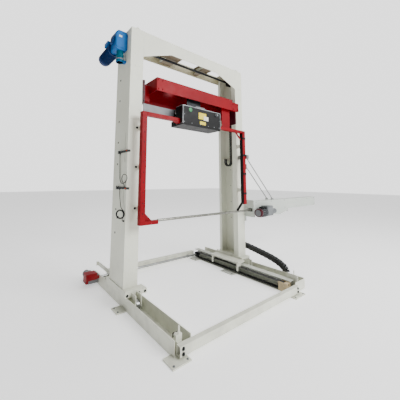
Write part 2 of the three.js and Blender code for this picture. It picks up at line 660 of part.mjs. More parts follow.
// A point of the coil: out from its centre at an angle from the top, in its own upright plane.
const yaw = (COIL.yaw / 180) * Math.PI;
const coilAxis = new THREE.Vector3(Math.cos(yaw), Math.sin(yaw), 0);
function coilPoint(angle, radius, along) {
  const across = new THREE.Vector3(Math.sin(yaw), -Math.cos(yaw), 0);
  return new THREE.Vector3(...COIL.centre)
    .addScaledVector(across, Math.sin(angle) * radius)
    .addScaledVector(new THREE.Vector3(0, 0, 1), Math.cos(angle) * radius)
    .addScaledVector(coilAxis, along)
    .toArray();
}

// The coil's outer shape, grown by a margin where its neighbours are cut to it.
function coilRing(margin) {
  const [r0, r1] = [COIL.inner - CABLE.r - 1 - margin, COIL.outer + CABLE.r + 1 + margin];
  const [a0, a1] = [-CABLE.r - 1 - margin, COIL.rise + 1 + margin];
  const c = 4;
  const profile = [[r0, a0 + c], [r0 + c, a0], [r1 - c, a0], [r1, a0 + c], [r1, a1 - c], [r1 - c, a1],
    [r0 + c, a1], [r0, a1 - c], [r0, a0 + c]];
  const geometry = new THREE.LatheGeometry(profile.map(([r, a]) => new THREE.Vector2(r, a)), 36);
  const turn = new THREE.Quaternion();
  turn.setFromUnitVectors(new THREE.Vector3(0, 1, 0), coilAxis);
  geometry.applyQuaternion(turn);
  geometry.translate(...COIL.centre);
  return toManifold(geometry);
}
put("sensor_cable_coil", coilRing(0), "rubber");

const coilStart = (COIL.start / 180) * Math.PI;
const coilEnd = ((COIL.start + COIL.sweep) / 180) * Math.PI;
put("sensor_cable_lead", cut(cord([
  [-14, 140, LOWER_ARM - 18 - GAP], [-14, 140, 1190], [-14, 138, 1168], [-15, 130, 1135],
  [-18, 114, 1102], [-23, 92, 1070], [-30, 64, 1040], [-35, 40, 1018],
  coilPoint(coilStart - 0.25, COIL.outer + 3, 0), coilPoint(coilStart, COIL.outer, 0),
  coilPoint(coilStart + 0.2, COIL.outer, 0),
], CABLE.r, 16), [coilRing(GAP)]), "rubber");
put("sensor_cable_tail", cut(cord([
  coilPoint(coilEnd - 0.3, COIL.inner, COIL.rise - 4), coilPoint(coilEnd, COIL.inner, COIL.rise + 1),
  [-19.5, 18, 932], [-21, 24, 913], [-22, 29, 898], [-20.5, 33, 884], [-16, 35, 877],
  [-12, 35, 876], [CABLE.columnGland[0] - GAP, CABLE.columnGland[1], CABLE.columnGland[2]],
], CABLE.r, 12), [coilRing(GAP)]), "rubber");

// ---- origin at the middle of the footprint, on the floor ----
const bounds = new THREE.Box3().setFromObject(group);
const middle = bounds.getCenter(new THREE.Vector3());
for (const mesh of group.children) {
  mesh.geometry.translate(-middle.x, -middle.y, -bounds.min.z);
}

export default group;
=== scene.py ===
"""Travelling-portal pallet strapping machine: the looks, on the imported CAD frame. Metres."""

import math

import bmesh
import bpy
from mathutils import Matrix, Vector


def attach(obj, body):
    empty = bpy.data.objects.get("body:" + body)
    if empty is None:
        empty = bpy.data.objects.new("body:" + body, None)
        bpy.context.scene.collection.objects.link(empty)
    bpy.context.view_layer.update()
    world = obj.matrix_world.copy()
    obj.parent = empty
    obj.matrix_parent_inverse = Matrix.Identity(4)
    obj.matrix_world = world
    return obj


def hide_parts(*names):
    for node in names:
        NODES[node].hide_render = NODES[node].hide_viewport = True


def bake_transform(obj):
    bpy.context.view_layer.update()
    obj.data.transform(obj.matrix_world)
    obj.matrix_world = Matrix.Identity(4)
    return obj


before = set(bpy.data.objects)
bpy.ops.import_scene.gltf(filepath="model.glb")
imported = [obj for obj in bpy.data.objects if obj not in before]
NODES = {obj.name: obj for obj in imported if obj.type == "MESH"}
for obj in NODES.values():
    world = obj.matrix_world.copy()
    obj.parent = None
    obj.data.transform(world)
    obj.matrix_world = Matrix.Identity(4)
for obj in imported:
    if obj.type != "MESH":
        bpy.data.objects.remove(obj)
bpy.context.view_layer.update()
SCENE = bpy.context.scene

# Places are in millimetres from the portal's front left corner on the floor.
PORTAL_CORNER = Vector((1930.5, 143.0, 0.0))
PORTAL_WIDTH = 2006

# The ways that screws, shafts and caps point.
TO_LEFT, TO_RIGHT = (-1, 0, 0), (1, 0, 0)
TO_FRONT, TO_REAR = (0, -1, 0), (0, 1, 0)
UPWARD, DOWNWARD = (0, 0, 1), (0, 0, -1)


def at(x, y, z):
    """A point of the machine, given in millimetres from the portal's corner, in the row frame."""
    return (Vector((x, y, z)) - PORTAL_CORNER) / 1000


# ---- camera ----
CAMERA_PLACE = (-1147.5, -2451.3, 1308.1)
YAW, PITCH, ROLL = math.radians(37.5378), math.radians(7.1475), math.radians(0.3755)
SENSOR_WIDTH, FOCAL_LENGTH = 36, 21.72
SHIFT_X, SHIFT_Y = 0.0486, -0.1232


def add_camera():
    """A hand-held view from the front left, turned by yaw, then pitch, then roll."""
    forward = Vector((math.sin(YAW) * math.cos(PITCH), math.cos(YAW) * math.cos(PITCH), math.sin(PITCH)))
    level_right = Vector((math.cos(YAW), -math.sin(YAW), 0))
    level_up = level_right.cross(forward)
    right = level_right * math.cos(ROLL) + level_up * math.sin(ROLL)
    up = level_up * math.cos(ROLL) - level_right * math.sin(ROLL)
    camera = bpy.data.objects.new("camera", bpy.data.cameras.new("camera"))
    SCENE.collection.objects.link(camera)
    rotation = Matrix((right, up, -forward)).transposed()
    camera.matrix_world = Matrix.Translation(at(*CAMERA_PLACE)) @ rotation.to_4x4()
    camera.data.sensor_width = SENSOR_WIDTH
    camera.data.lens = FOCAL_LENGTH
    camera.data.shift_x = SHIFT_X
    camera.data.shift_y = SHIFT_Y
    camera.data.clip_end = 60
    SCENE.camera = camera


add_camera()


# ---- materials ----
def srgb(r, g, b):
    """A linear colour from screen values of 0 to 255."""

    def linear(v):
        v /= 255
        return v / 12.92 if v <= 0.04045 else ((v + 0.055) / 1.055) ** 2.4

    return (linear(r), linear(g), linear(b), 1)


class Nodes:
    """A node material under construction, with its object coordinates at hand."""

    def __init__(self, name):
        self.material = bpy.data.materials.new(name)
        self.material.use_nodes = True
        self.tree = self.material.node_tree
        self.shader = self.tree.nodes["Principled BSDF"]
        self.coordinates = self.add("ShaderNodeTexCoord").outputs["Object"]

    def add(self, kind, **values):
        node = self.tree.nodes.new(kind)
        for key, value in values.items():
            setattr(node, key, value)
        return node

    def link(self, a, b):
        self.tree.links.new(a, b)

    def noise(self, scale, detail=4, stretch=(1, 1, 1)):
        mapping = self.add("ShaderNodeMapping")
        mapping.inputs["Scale"].default_value = stretch
        self.link(self.coordinates, mapping.inputs["Vector"])
        noise = self.add("ShaderNodeTexNoise")
        noise.inputs["Scale"].default_value = scale
        noise.inputs["Detail"].default_value = detail
        self.link(mapping.outputs[0], noise.inputs["Vector"])
        return noise.outputs["Fac"]

    def remap(self, value, a, b, low, high):
        node = self.add("ShaderNodeMapRange")
        for key, number in zip(("From Min", "From Max", "To Min", "To Max"), (a, b, low, high)):
            node.inputs[key].default_value = number
        self.link(value, node.inputs["Value"])
        return node.outputs["Result"]

    def mix(self, factor, a, b):
        node = self.add("ShaderNodeMix", data_type="RGBA")
        self.link(factor, node.inputs["Factor"])
        for key, colour in (("A", a), ("B", b)):
            socket = [s for s in node.inputs if s.name == key and s.type == "RGBA"][0]
            if isinstance(colour, tuple):
                socket.default_value = colour
            else:
                self.link(colour, socket)
        return [s for s in node.outputs if s.type == "RGBA"][0]

    def bump(self, height, strength, distance=0.001):
        node = self.add("ShaderNodeBump")
        node.inputs["Strength"].default_value = strength
        node.inputs["Distance"].default_value = distance
        self.link(height, node.inputs["Height"])
        self.link(node.outputs[0], self.shader.inputs["Normal"])

    def low_dust(self, reach=0.5):
        """1 at the bottom of the object's coordinates, 0 from a reach in metres up."""
        separate = self.add("ShaderNodeSeparateXYZ")
        self.link(self.coordinates, separate.inputs[0])
        return self.remap(separate.outputs["Z"], 0.0, reach, 1.0, 0.0)


def painted(name, colour, worn, rough=(0.34, 0.5), dust=0.35, peel=0.06, gloss=0.5, scratch=0.12):
    """Sprayed paint: cloudy colour, fine orange peel, faint rubbed streaks and dust near the floor."""
    n = Nodes(name)
    cloud = n.remap(n.noise(2.2, 5), 0.35, 0.7, 0.0, 0.5)
    base = n.mix(cloud, srgb(*colour), srgb(*worn))
    streaks = n.remap(n.noise(26, 6, (1, 1, 0.12)), 0.6, 0.78, 0.0, scratch)
    base = n.mix(streaks, base, srgb(*[c * 0.72 for c in worn]))
    speck = n.remap(n.noise(150, 2), 0.7, 0.78, 0.0, 0.35)
    base = n.mix(speck, base, srgb(*[c * 0.8 for c in worn]))
    dusty = n.add("ShaderNodeMath", operation="MULTIPLY")
    n.link(n.low_dust(), dusty.inputs[0])
    n.link(n.remap(n.noise(9, 5), 0.4, 0.7, 0.0, dust), dusty.inputs[1])
    base = n.mix(dusty.outputs[0], base, srgb(150, 146, 136))
    n.link(base, n.shader.inputs["Base Color"])
    n.link(n.remap(n.noise(14, 4), 0.3, 0.7, *rough), n.shader.inputs["Roughness"])
    n.shader.inputs["Specular IOR Level"].default_value = gloss
    n.bump(n.noise(420, 3), peel, 0.0006)
    return n.material


def metal(name, colour, dark, rough=(0.25, 0.45), stretch=(1, 1, 1), metallic=0.9, bump=0.08, scale=60):
    """Bare or cast metal: brushed or grainy, with darker stains."""
    n = Nodes(name)
    stain = n.remap(n.noise(7, 5), 0.42, 0.72, 0.0, 0.8)
    grain = n.remap(n.noise(scale * 2, 4, stretch), 0.3, 0.7, 0.0, 0.45)
    base = n.mix(grain, srgb(*colour), srgb(*dark))
    n.link(n.mix(stain, base, srgb(*dark)), n.shader.inputs["Base Color"])
    n.link(n.remap(n.noise(scale, 4, stretch), 0.3, 0.7, *rough), n.shader.inputs["Roughness"])
    n.shader.inputs["Metallic"].default_value = metallic
    n.bump(n.noise(scale * 5, 4, stretch), bump, 0.0006)
    return n.material


def plastic(name, colour, rough=(0.42, 0.6), grain=260, bump=0.12):
    """Moulded plastic or rubber: fine leather grain, and slightly greyed where it is handled."""
    n = Nodes(name)
    pale = tuple(min(255, c * 1.25 + 14) for c in colour)
    cloud = n.remap(n.noise(11, 5), 0.45, 0.75, 0.0, 0.55)
    base = n.mix(cloud, srgb(*colour), srgb(*pale))
    scuff = n.remap(n.noise(70, 3, (1, 1, 0.3)), 0.66, 0.76, 0.0, 0.35)
    n.link(n.mix(scuff, base, srgb(*[min(255, c + 40) for c in pale])), n.shader.inputs["Base Color"])
    n.link(n.remap(n.noise(24, 4), 0.3, 0.7, *rough), n.shader.inputs["Roughness"])
    cells = n.add("ShaderNodeTexVoronoi")
    cells.inputs["Scale"].default_value = grain
    n.link(n.coordinates, cells.inputs["Vector"])
    n.bump(cells.outputs["Distance"], bump, 0.0005)
    return n.material


MAT = {
    "cream": painted("cream_paint", (226, 228, 212), (206, 207, 190), peel=0.05),
    "red": painted("red_paint", (136, 0, 17), (104, 0, 14), (0.36, 0.5), dust=0.15, gloss=0.12, scratch=0.15),
    "maroon": painted("dark_red_paint", (66, 2, 18), (48, 3, 16), dust=0.1, gloss=0.2),
    "blue": painted("blue_paint", (0, 92, 160), (0, 68, 126), (0.3, 0.42), dust=0.1, gloss=0.2),
    "navy": painted("dark_blue_paint", (0, 42, 92), (0, 28, 64), (0.32, 0.46), dust=0.1, gloss=0.2),
    "teal": painted("teal_paint", (0, 88, 108), (0, 62, 78), (0.32, 0.46), dust=0.1, gloss=0.2),
    "black": painted("black_paint", (10, 11, 12), (19, 20, 21), (0.38, 0.52), dust=0.1, gloss=0.18),
    "grey": painted("grey_paint", (112, 114, 118), (92, 95, 99), (0.36, 0.5), dust=0.3),
    "track": painted("track_grey_paint", (200, 203, 192), (172, 176, 166), (0.4, 0.55), dust=0.3),
    "pale": painted("pale_grey_paint", (196, 202, 194), (176, 182, 176), (0.36, 0.5), dust=0.3),
    "dark": metal("dark_steel", (52, 54, 56), (28, 30, 31), (0.38, 0.55)),
    "steel": metal("bare_steel", (168, 170, 168), (108, 110, 108), (0.24, 0.42), stretch=(1, 1, 12)),
    "rod": metal("polished_rod", (150, 150, 142), (92, 92, 84), (0.2, 0.34), stretch=(0.1, 1, 1)),
    "cast": metal("dark_casting", (40, 43, 44), (22, 24, 25), (0.45, 0.65), metallic=0.5, bump=0.3),
    "alloy": metal("cast_alloy", (136, 140, 142), (92, 96, 98), (0.34, 0.52), metallic=0.6, bump=0.2),
    "plastic": plastic("black_plastic", (15, 16, 17)),
    "rubber": plastic("black_rubber", (13, 13, 14), (0.6, 0.78), grain=420, bump=0.2),
    "tan": plastic("tan_block", (170, 152, 116), (0.5, 0.7), grain=300, bump=0.15),
    "green": plastic("green_sticker", (0, 118, 62), (0.4, 0.55), grain=500, bump=0.03),
    "yellow": plastic("yellow_label", (214, 190, 0), (0.4, 0.55), grain=500, bump=0.03),
    "white": plastic("white_label", (214, 214, 206), (0.4, 0.55), grain=500, bump=0.03),
    # Painted shade: near-black, for the shadowed insides of the columns' holes.
    "hole": painted(
        "painted_shade_hole", (7, 7, 7), (12, 12, 12), (0.8, 0.9), dust=0.0, peel=0.02, gloss=0.0, scratch=0.05,
    ),
    # Painted shade: a darker olive for the shaded inner face of the cream crossbeam's rear plate.
    "olive": painted("painted_shade_inner_face", (186, 180, 146), (160, 152, 120), dust=0.1),
    # Painted shade: a brown tone for the shaded inside of the cream crossbeam.
    "shade": painted("shaded_tie_paint", (112, 98, 74), (92, 80, 60), (0.45, 0.6), dust=0.1),
    "amber": plastic("sensor_lens", (190, 70, 8), (0.2, 0.3), grain=400, bump=0.02),
}


# ---- mesh helpers, all in millimetres from the portal's corner ----
def piece(name, bm, material, body, smooth=40):
    """The finished mesh as one piece, riding on its body."""
    bmesh.ops.recalc_face_normals(bm, faces=bm.faces)
    for face in bm.faces:
        face.smooth = True
    for edge in bm.edges:
        if len(edge.link_faces) == 2:
            edge.smooth = edge.calc_face_angle(0) < math.radians(smooth)
    for v in bm.verts:
        v.co = at(*v.co)
    mesh = bpy.data.meshes.new(name)
    bm.to_mesh(mesh)
    bm.free()
    obj = bpy.data.objects.new(name, mesh)
    SCENE.collection.objects.link(obj)
    obj.data.materials.append(MAT[material])
    if body:
        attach(obj, body)
    return obj


def bevelled_cube(bm, matrix, bevel, segments=2, clamp=True):
    """A unit cube, sized and placed by a matrix, with its edges broken."""
    verts = bmesh.ops.create_cube(bm, size=1, matrix=matrix)["verts"]
    if bevel:
        edges = list(dict.fromkeys(e for v in verts for e in v.link_edges))
        bmesh.ops.bevel(
            bm, geom=edges, offset=bevel, segments=segments, affect="EDGES", clamp_overlap=clamp,
        )


def add_box(bm, x0, x1, y0, y1, z0, z1, bevel=2.0):
    middle = Matrix.Translation(((x0 + x1) / 2, (y0 + y1) / 2, (z0 + z1) / 2))
    bevelled_cube(bm, middle @ Matrix.Diagonal((x1 - x0, y1 - y0, z1 - z0, 1)), bevel)


def add_skin(bm, rings, closed=False):
    """Faces from each ring of vertices to the next. The ends are capped, or joined up when closed."""
    following = rings[1:] + rings[:1] if closed else rings[1:]
    for a, b in zip(rings, following):
        for i in range(len(a)):
            j = (i + 1) % len(a)
            bm.faces.new((a[i], a[j], b[j], b[i]))
    if not closed:
        bm.faces.new(list(reversed(rings[0])))
        bm.faces.new(rings[-1])


def add_turned(bm, profile, start, direction, segments=32):
    """A solid of revolution: (distance along the axis, radius) pairs from start in a direction."""
    turn = Vector((0, 0, 1)).rotation_difference(Vector(direction).normalized()).to_matrix()
    angles = [2 * math.pi * i / segments for i in range(segments)]
    rings = []
    for along, radius in profile:
        circle = [Vector((math.cos(a) * radius, math.sin(a) * radius, along)) for a in angles]
        rings.append([bm.verts.new(Vector(start) + turn @ p) for p in circle])
    add_skin(bm, rings)


def add_rod(bm, start, end, radius, segments=24, bevel=1.5):
    """A round bar with its end edges broken."""
    start, end = Vector(start), Vector(end)
    length = (end - start).length
    b = min(bevel, radius / 2, length / 3)
    profile = [(0, radius - b), (b, radius), (length - b, radius), (length, radius - b)]
    add_turned(bm, profile, start, end - start, segments)


# Head radius and head height of each size of screw and bolt.
TINY_SCREW, SMALL_SCREW, CAP_SCREW, BLOCK_SCREW = (4.5, 3), (5, 3), (6, 4), (6, 5)
SHOE_BOLT, ANCHOR_BOLT, END_BOLT, FRAME_BOLT = (7, 5), (7, 6), (8, 6), (10.5, 9)
WASHER_THICKNESS = 1.8


def add_bolt(bm, point, direction, size):
    """A washer with a domed hexagon head on it."""
    radius, height = size
    direction = Vector(direction).normalized()
    washer = [(0, radius * 1.35), (WASHER_THICKNESS - 0.2, radius * 1.35), (WASHER_THICKNESS, radius * 1.25)]
    add_turned(bm, washer, point, direction, 16)
    head = [(0, radius), (height * 0.75, radius), (height, radius * 0.72)]
    add_turned(bm, head, Vector(point) + direction * WASHER_THICKNESS, direction, 6)


def bolts(name, points, direction, material, body, size):
    """One piece of like bolts."""
    bm = bmesh.new()
    for point in points:
        add_bolt(bm, point, direction, size)
    piece(name, bm, material, body)


def boxes(name, items, material, body, bevel=2.0):
    """One piece of boxes, each given as x0, x1, y0, y1, z0, z1."""
    bm = bmesh.new()
    for item in items:
        add_box(bm, *item, bevel=bevel)
    piece(name, bm, material, body)


def rods(name, items, material, body, segments=24):
    """One piece of round bars, given as (start, end, radius)."""
    bm = bmesh.new()
    for start, end, radius in items:
        add_rod(bm, start, end, radius, segments)
    piece(name, bm, material, body)


def turned_solids(name, items, direction, material, body, segments=32):
    """One piece of one or more turned solids, given as (profile, start) pairs."""
    bm = bmesh.new()
    for profile, start in items:
        add_turned(bm, profile, start, direction, segments)
    piece(name, bm, material, body)


def smooth_curve(points, per_span):
    """A Catmull-Rom curve through the points, as a list of Vectors."""
    p = [Vector(q) for q in points]
    p = [p[0] * 2 - p[1]] + p + [p[-1] * 2 - p[-2]]
    out = []
    for i in range(1, len(p) - 2):
        for k in range(per_span):
            t = k / per_span
            a, b, c, d = p[i - 1], p[i], p[i + 1], p[i + 2]
            out.append(
                0.5 * (2 * b + (c - a) * t + (2 * a - 5 * b + 4 * c - d) * t * t
                       + (3 * b - a - 3 * c + d) * t ** 3)
            )
    return out + [p[-2]]


def add_sweep(bm, line, radius, segments=12):
    """A round tube along a line, its ring turned as little as possible from point to point."""
    angles = [2 * math.pi * k / segments for k in range(segments)]
    rings = []
    tangent = (line[1] - line[0]).normalized()
    side = tangent.orthogonal().normalized()
    for i, p in enumerate(line):
        ahead = (line[min(i + 1, len(line) - 1)] - line[max(i - 1, 0)]).normalized()
        side = (tangent.rotation_difference(ahead) @ side).normalized()
        tangent = ahead
        other = tangent.cross(side)
        rings.append([
            bm.verts.new(p + side * math.cos(a) * radius + other * math.sin(a) * radius) for a in angles
        ])
    add_skin(bm, rings)


# ---- sensor cables ----
CABLE_RADIUS = 4
UPPER_ROUTE = smooth_curve([
    (-14, 168, 1607.7), (-14, 168, 1592), (-14, 168, 1570), (-13, 167, 1530), (-12, 165, 1480),
    (-11, 163, 1430), (-10.5, 161, 1380), (-10.5, 158, 1345), (-10.5, 150, 1312), (-11, 128, 1288),
    (-11.5, 90, 1278), (-12, 45, 1282), (-14, 5, 1292), (-18, -30, 1310), (-20, -50, 1336),
    (-23, -45, 1360), (-25, -15, 1374), (-26, 22, 1374), (-26, 52, 1362), (-26, 68, 1340),
    (-25, 62, 1312), (-23, 43, 1288), (-18, 31, 1268), (-14.5, 28, 1256), (-14, 28, 1244.3),
], 4)
LOWER_LEAD = [
    (-14, 140, 1207.7), (-14, 140, 1190), (-14, 138, 1168), (-15, 130, 1135), (-18, 114, 1102),
    (-23, 92, 1070), (-30, 64, 1040), (-35, 40, 1018),
]
LOWER_TAIL = [
    (-19.5, 18, 932), (-21, 24, 913), (-22, 29, 898), (-20.5, 33, 884), (-16, 35, 877),
    (-12, 35, 876), (-9.3, 35, 876),
]

# The coil winds inwards in an upright plane that is turned by its yaw from the side of the column.
COIL_CENTRE, COIL_YAW = Vector((-46, 37, 953)), math.radians(40)
COIL_START, COIL_SWEEP = math.radians(40), math.radians(780)
COIL_OUTER, COIL_INNER = 52, 33.5
COIL_STEPS = 52
# Over the last part of the sweep the cable rises out of the coil's plane, clear of the outer turns.
RISE_FROM, COIL_RISE = 0.86, 8
COIL_ACROSS = Vector((math.sin(COIL_YAW), -math.cos(COIL_YAW), 0))
COIL_AXIS = Vector((math.cos(COIL_YAW), math.sin(COIL_YAW), 0))


def coil_outward(angle):
    """The way out from the coil's centre, with the angle measured from upright."""
    return COIL_ACROSS * math.sin(angle) + Vector((0, 0, 1)) * math.cos(angle)


def coil_point(angle, radius, along):
    return COIL_CENTRE + coil_outward(angle) * radius + COIL_AXIS * along


def lower_route():
    """From the lower sensor arm through the coil to the gland in the column."""
    points = [Vector(p) for p in LOWER_LEAD]
    points.append(coil_point(COIL_START - 0.25, COIL_OUTER + 3, 0))
    for i in range(COIL_STEPS + 1):
        share = i / COIL_STEPS
        rise = COIL_RISE * max(0.0, (share - RISE_FROM) / (1 - RISE_FROM)) ** 2
        radius = COIL_OUTER + (COIL_INNER - COIL_OUTER) * share
        points.append(coil_point(COIL_START + COIL_SWEEP * share, radius, rise + share))
    return smooth_curve(points + [Vector(p) for p in LOWER_TAIL], 3)


def cord_piece(name, route, nodes):
    """A limp cable along a route, in place of its plain CAD solids."""
    bm = bmesh.new()
    add_sweep(bm, route, CABLE_RADIUS, 14)
    obj = piece(name, bm, "rubber", "portal", 60)
    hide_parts(*nodes)


def coil_tie():
    """A rounded loop round the coil's turns, opposite the side where the cable comes in."""
    half_length, half_width, half_height, thickness, steps = 15.2, 6.6, 4, 1.2, 28
    angle = COIL_START + math.pi
    outward = coil_outward(angle)
    middle = coil_point(angle, (COIL_OUTER + COIL_INNER) / 2, 1)
    outline = []
    for k in range(steps):
        a = 2 * math.pi * k / steps
        u = half_length * math.copysign(abs(math.cos(a)) ** 0.7, math.cos(a))
        v = half_width * math.copysign(abs(math.sin(a)) ** 0.7, math.sin(a))
        outline.append(middle + outward * u + COIL_AXIS * v)
    along = outward.cross(COIL_AXIS).normalized()
    bm = bmesh.new()
    section = ((-half_height, 0), (-half_height, thickness), (half_height, thickness), (half_height, 0))
    rings = [
        [bm.verts.new(p + along * offset + (p - middle).normalized() * grow) for p in outline]
        for offset, grow in section
    ]
    add_skin(bm, rings, closed=True)
    return piece("coil_tie", bm, "plastic", "portal")


tie = coil_tie()
cord_piece("sensor_cord_upper", UPPER_ROUTE, ["sensor_cable_upper"])
cord_piece(
    "sensor_cord_lower", lower_route(),
    ["sensor_cable_lead", "sensor_cable_coil", "sensor_cable_tail"],
)

# ---- finishes of the CAD nodes ----
FINISH = {
    "cream": [
        "left_rail_beam", "right_rail_beam", "front_cross_tube", "rear_cross_tube",
        "front_stop_left", "front_stop_right", "left_bogie", "right_bogie", "left_column",
        "right_column", "crossbeam",
    ],
    "red": [
        "travel_motor_guard", "strap_guide_left", "strap_guide_right",
        "carriage_frame", "strap_guide_top_left", "strap_guide_top_right",
    ],
    "blue": ["lift_gearbox"],
    "navy": ["lift_motor"],
    "black": ["head_base_tray", "head_cover", "strap_liner_right"],
    "maroon": ["guide_shoe_left", "guide_shoe_right", "lance_motor_fan_cover"],
    "grey": ["head_mount_bar", "travel_gearmotor"],
    "track": ["belt_channel"],
    "pale": ["lance_beam", "lance_bracket"],
    "alloy": ["lance_gearbox", "lance_motor"],
    "steel": [
        "left_front_wheel", "left_rear_wheel", "right_front_wheel", "right_rear_wheel",
        "feed_wheel", "pinch_wheel", "travel_shaft", "lance_stay_front", "lance_stay_rear",
    ],
    "rod": ["lance_rod"],
    "dark": [
        "head_hanger", "travel_drive_pulley", "travel_idler_pulley", "lift_shaft", "lance_drive_roller",
        "sensor_arm_upper", "sensor_arm_lower",
    ],
    "cast": ["head_body"],
    "rubber": ["travel_belt", "lift_belt_left", "lift_belt_right"],
    "plastic": ["travel_cable_chain", "lift_cable_chain"],
    "tan": ["belt_tension_block"],
}
# Rounding of the edges in metres, where it isn't the usual one.
EDGE = {"crossbeam": 0.0015, "left_column": 0.0015, "right_column": 0.0015, "head_cover": 0.004}
USUAL_EDGE = 0.0018


def finish_node(node, material, edge_width):
    """A CAD node with its material, its edges rounded and its flat faces kept flat."""
    node.data.materials.clear()
    node.data.materials.append(MAT[material])
    weld = node.modifiers.new("weld", "WELD")
    weld.merge_threshold = 0.00002
    edge = node.modifiers.new("edge", "BEVEL")
    edge.width = edge_width
    edge.segments = 2
    edge.limit_method = "ANGLE"
    edge.angle_limit = math.radians(40)
    normals = node.modifiers.new("normals", "WEIGHTED_NORMAL")
    normals.mode = "FACE_AREA"
    normals.weight = 100
    for polygon in node.data.polygons:
        polygon.use_smooth = True


for material, names in FINISH.items():
    for name in names:
        finish_node(NODES[name], material, EDGE.get(name, USUAL_EDGE))


# ---- cable chains ----
ACROSS = Vector((1, 0, 0))
PLATE = 7  # thickness of a link's side plates
STEP_IN = 2.2  # how much narrower and lower every second link is, on each side


def stations_along(line, pitch):
    """Points along a line, one pitch apart."""
    reached, stations = 0.0, [line[0]]
    for a, b in zip(line, line[1:]):
        step = (b - a).length
        while reached + step >= pitch * len(stations):
            t = (pitch * len(stations) - reached) / step
            stations.append(a.lerp(b, t))
        reached += step
    return stations


def add_link(bm, a, b, width, thickness, pitch, inset):
    """Two side plates with a pin each, and a crossbar above and below, from station a to station b."""
    ahead = (b - a).normalized()
    out = ACROSS.cross(ahead)
    centre = (a + b) / 2
    turn = Matrix((ACROSS, ahead, out)).transposed().to_4x4()

    def add_block(place, size, bevel):
        matrix = Matrix.Translation(place) @ turn @ Matrix.Diagonal((*size, 1))
        bevelled_cube(bm, matrix, bevel, segments=1, clamp=False)

    near_plate = (inset, PLATE, inset - 0.8)
    far_plate = (width - PLATE, width - inset, width - inset - 2)
    for x0, x1, pin_x in (near_plate, far_plate):
        size = (x1 - x0, pitch * 1.02, thickness - 2 * inset)
        add_block(centre + ACROSS * ((x0 + x1) / 2), size, 2.5)
        pin = centre - ahead * (pitch * 0.45) + ACROSS * pin_x
        add_turned(bm, [(0, 5.5), (2.4, 5.5), (2.8, 4.8)], pin, TO_RIGHT, 12)
    for side in (-1, 1):
        place = centre + out * side * (thickness / 2 - 4) + ACROSS * (width / 2)
        add_block(place, (width - 12, pitch * 0.62, 4.5), 1.2)


def chain(name, route, x0, width, thickness, pitch, node):
    """An energy chain, link by link along a route in the YZ plane, from x0 over its width."""
    line = smooth_curve([(x0, y, z) for y, z in route], 24)
    stations = stations_along(line, pitch)
    bm = bmesh.new()
    for i, (a, b) in enumerate(zip(stations, stations[1:])):
        add_link(bm, a, b, width, thickness, pitch, STEP_IN if i % 2 else 0.0)
    obj = piece(name, bm, "plastic", None)
    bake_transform(obj)
    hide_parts(node)


chain(
    "travel_chain_links",
    [(328, 324), (200, 320), (60, 306), (-80, 283), (-220, 257), (-360, 227), (-470, 193), (-545, 155),
     (-582, 118), (-588, 84), (-560, 54), (-505, 40), (-440, 36.3), (-300, 36.3), (0, 36.3), (300, 36.3),
     (560, 36.3)],
    2075, 75, 67, 34, "travel_cable_chain",
)

LOOP_NEAR, LOOP_FAR, LOOP_Z, LOOP_STEPS = 155, 272.2, 1620, 10


def lift_chain_route():
    """Down beside the column, round a half circle and a little way up again."""
    route = [(LOOP_NEAR, z) for z in (2439, 2240, 2040, 1840, 1700, LOOP_Z)]
    radius = (LOOP_FAR - LOOP_NEAR) / 2
    for i in range(1, LOOP_STEPS):
        turn = i / LOOP_STEPS * math.pi
        route.append((LOOP_NEAR + radius - math.cos(turn) * radius, LOOP_Z - math.sin(turn) * radius))
    return route + [(LOOP_FAR, LOOP_Z), (LOOP_FAR, 1690)]


chain(
    "lift_chain_links", lift_chain_route(), 1870, 50, 25, 20,
    "lift_cable_chain",
)

# ---- lift belts ----
BELT_FRONT, BELT_REAR = 140.7, 144.7
BELT_LOW, BELT_HIGH, BELT_STEPS = 2500.3, 2960, 46
TOOTH_HEIGHT = 1.5


def toothed_belt(name, x0, x1, node):
    """A lift belt from its drum to the carriage, built in short steps."""
    bm = bmesh.new()
    for i in range(BELT_STEPS):
        z0 = BELT_LOW + (BELT_HIGH - BELT_LOW) * i / BELT_STEPS
        z1 = BELT_LOW + (BELT_HIGH - BELT_LOW) * (i + 1) / BELT_STEPS
        add_box(bm, x0, x1, BELT_FRONT, BELT_REAR - TOOTH_HEIGHT, z0, z1, bevel=0)
        root = BELT_REAR - TOOTH_HEIGHT - 0.1
        add_box(bm, x0 + 1, x1 - 1, root, BELT_REAR, z0 + 2, z1 - 2, bevel=0.5)
    bmesh.ops.remove_doubles(bm, verts=bm.verts, dist=0.01)
    obj = piece(name, bm, "rubber", None)
    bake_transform(obj)
    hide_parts(node)


toothed_belt("lift_belt_strip_left", 69, 101, "lift_belt_left")
toothed_belt("lift_belt_strip_right", 1905, 1937, "lift_belt_right")

# ---- details of the portal ----
BOGIE_X = (18, 150)
BOGIE_BOLT_Z = 150
RIGHT_BOGIE_X = [PORTAL_WIDTH - x for x in BOGIE_X]
bolts(
    "bogie_bolts", [(x, -66, BOGIE_BOLT_Z) for x in (*BOGIE_X, 222, *RIGHT_BOGIE_X)],
    TO_FRONT, "dark", "portal", FRAME_BOLT,
)
bolts(
    "bogie_bolts_rear", [(x, 441, BOGIE_BOLT_Z) for x in (*BOGIE_X, *RIGHT_BOGIE_X)],
    TO_REAR, "dark", "portal", FRAME_BOLT,
)
bolts(
    "beam_flange_bolts", [(x, -923, z) for x in (66, 1760) for z in (42, 78)],
    TO_FRONT, "dark", "base", FRAME_BOLT,
)
bolts(
    "guide_bracket_bolts",
    [(104, -6, z) for z in (1910, 1461, 1008)] + [(1895, -6, z) for z in (1850, 1180)],
    TO_FRONT, "dark", "portal", FRAME_BOLT,
)


